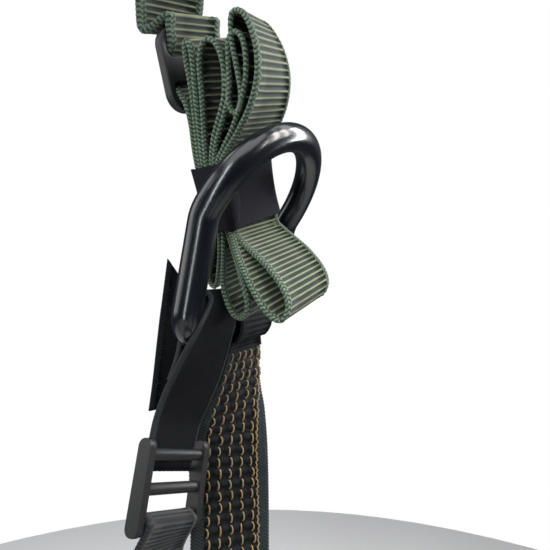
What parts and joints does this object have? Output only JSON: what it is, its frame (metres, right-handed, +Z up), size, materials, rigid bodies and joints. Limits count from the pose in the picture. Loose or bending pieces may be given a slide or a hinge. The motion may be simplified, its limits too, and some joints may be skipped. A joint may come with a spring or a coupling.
{
  "type": "tree climbing saddle",
  "caption": "Padded climbing saddle with leg loops, hip D-rings on folded green side webbing, quick-connect buckles and a swivel rope bridge.",
  "frame": {"origin": "centre of the swivel eye's bore, above and in front of the belt", "axes": "+Z up, -Y the way the wearer faces, +X to the wearer's left; the eye's bore runs along X"},
  "size_m": [0.4434, 0.3716, 0.5766],
  "materials": {
    "pad_fabric": "matte woven cover over foam",
    "mesh_lining": "matte spacer mesh",
    "green_webbing": "matte, strong cross ribs, knitted selvedges",
    "black_webbing": "matte, fine diagonal ribs",
    "sleeve_webbing": "matte, coarse cross ribs",
    "patterned_webbing": "matte black with rows of tan loops",
    "elastic": "matte fine knit",
    "rope": "matte braided polyester",
    "coated_metal": "satin gloss black coating",
    "buckle_metal": "satin black anodised",
    "tab_metal": "satin",
    "swivel_metal": "satin grey anodised",
    "steel": "brushed",
    "washer_brass": "satin",
    "loop_plastic": "matte moulded",
    "adjuster_coating": "smooth satin black"
  },
  "bodies": {
    "saddle": {"back_pad": "pad_fabric", "pad_lining": "mesh_lining", "belt_webbing": "green_webbing", "belt_strap_right": "green_webbing", "belt_adjuster": "coated_metal", "belt_socket": "buckle_metal", "gear_loops": "loop_plastic", "swivel_washer": "washer_brass", "bridge_ring": "swivel_metal", "bridge_rope": "rope", "bridge_knots": "rope", "rear_risers": "black_webbing", "riser_right": "green_webbing", "adjuster_right": "adjuster_coating", "tail_bundle_right": "green_webbing", "tail_keeper_right": "elastic", "bar_sleeve_right": "sleeve_webbing", "hip_strap_right": "patterned_webbing", "leg_strap_right": "black_webbing", "leg_adjuster_right": "adjuster_coating", "leg_tail_right": "black_webbing", "link_right": "coated_metal", "link_straps_right": "black_webbing", "leg_pad_right": "pad_fabric", "leg_webbing_right": "green_webbing", "leg_socket_right": "buckle_metal", "leg_front_loop_right": "coated_metal", "riser_left": "green_webbing", "adjuster_left": "adjuster_coating", "tail_bundle_left": "green_webbing", "tail_keeper_left": "elastic", "bar_sleeve_left": "sleeve_webbing", "hip_strap_left": "patterned_webbing", "leg_strap_left": "black_webbing", "leg_adjuster_left": "adjuster_coating", "leg_tail_left": "black_webbing", "link_left": "coated_metal", "link_straps_left": "black_webbing", "leg_pad_left": "pad_fabric", "leg_webbing_left": "green_webbing", "leg_socket_left": "buckle_metal", "leg_front_loop_left": "coated_metal"},
    "d_ring_right": {"d_ring_right": "coated_metal"},
    "d_ring_left": {"d_ring_left": "coated_metal"},
    "belt_tongue": {"belt_tongue": "buckle_metal", "belt_strap_left": "green_webbing"},
    "belt_keeper": {"belt_keeper": "elastic"},
    "belt_tab_upper": {"belt_tab_upper": "tab_metal"},
    "belt_tab_lower": {"belt_tab_lower": "tab_metal"},
    "swivel": {"swivel_eye": "swivel_metal", "swivel_nut": "steel"},
    "leg_tongue_right": {"leg_tongue_right": "buckle_metal", "leg_front_strap_right": "green_webbing"},
    "leg_tab_upper_right": {"leg_tab_upper_right": "tab_metal"},
    "leg_tab_lower_right": {"leg_tab_lower_right": "tab_metal"},
    "leg_tongue_left": {"leg_tongue_left": "buckle_metal", "leg_front_strap_left": "green_webbing"},
    "leg_tab_upper_left": {"leg_tab_upper_left": "tab_metal"},
    "leg_tab_lower_left": {"leg_tab_lower_left": "tab_metal"}
  },
  "joints": [
    {"name": "d_ring_right_hinge", "type": "hinge", "parent": "saddle", "child": "d_ring_right", "pos_m": [-0.19, 0.215, -0.3], "axis": [-0.9011, 0.4337, 0], "range_deg": [-3, 110]},
    {"name": "d_ring_left_hinge", "type": "hinge", "parent": "saddle", "child": "d_ring_left", "pos_m": [0.19, 0.215, -0.3], "axis": [-0.9011, -0.4337, 0], "range_deg": [-3, 110]},
    {"name": "belt_tongue_slide", "type": "slide", "parent": "saddle", "child": "belt_tongue", "axis": [1, 0, 0], "range_m": [0, 0.024]},
    {"name": "belt_keeper_slide", "type": "slide", "parent": "saddle", "child": "belt_keeper", "axis": [1, 0, 0], "range_m": [-0.003, 0.008]},
    {"name": "belt_tab_upper_press", "type": "slide", "parent": "saddle", "child": "belt_tab_upper", "axis": [0, 0, -1], "range_m": [0, 0.0025], "stiffness_N_per_m": 300, "springref_m": -0.002},
    {"name": "belt_tab_lower_press", "type": "slide", "parent": "saddle", "child": "belt_tab_lower", "axis": [0, 0, 1], "range_m": [0, 0.0025], "stiffness_N_per_m": 300, "springref_m": -0.002},
    {"name": "swivel_turn", "type": "hinge", "parent": "saddle", "child": "swivel", "pos_m": [0, 0, -0.03], "axis": [0, 0, 1], "continuous": true},
    {"name": "leg_tongue_right_slide", "type": "slide", "parent": "saddle", "child": "leg_tongue_right", "axis": [-0.9613, 0, 0.2756], "range_m": [0, 0.024]},
    {"name": "leg_tab_upper_right_press", "type": "slide", "parent": "saddle", "child": "leg_tab_upper_right", "axis": [-0.2756, 0, -0.9613], "range_m": [0, 0.0025], "stiffness_N_per_m": 300, "springref_m": -0.002},
    {"name": "leg_tab_lower_right_press", "type": "slide", "parent": "saddle", "child": "leg_tab_lower_right", "axis": [0.2756, 0, 0.9613], "range_m": [0, 0.0025], "stiffness_N_per_m": 300, "springref_m": -0.002},
    {"name": "leg_tongue_left_slide", "type": "slide", "parent": "saddle", "child": "leg_tongue_left", "axis": [0.9613, 0, 0.2756], "range_m": [0, 0.024]},
    {"name": "leg_tab_upper_left_press", "type": "slide", "parent": "saddle", "child": "leg_tab_upper_left", "axis": [0.2756, 0, -0.9613], "range_m": [0, 0.0025], "stiffness_N_per_m": 300, "springref_m": -0.002},
    {"name": "leg_tab_lower_left_press", "type": "slide", "parent": "saddle", "child": "leg_tab_lower_left", "axis": [-0.2756, 0, 0.9613], "range_m": [0, 0.0025], "stiffness_N_per_m": 300, "springref_m": -0.002}
  ]
}
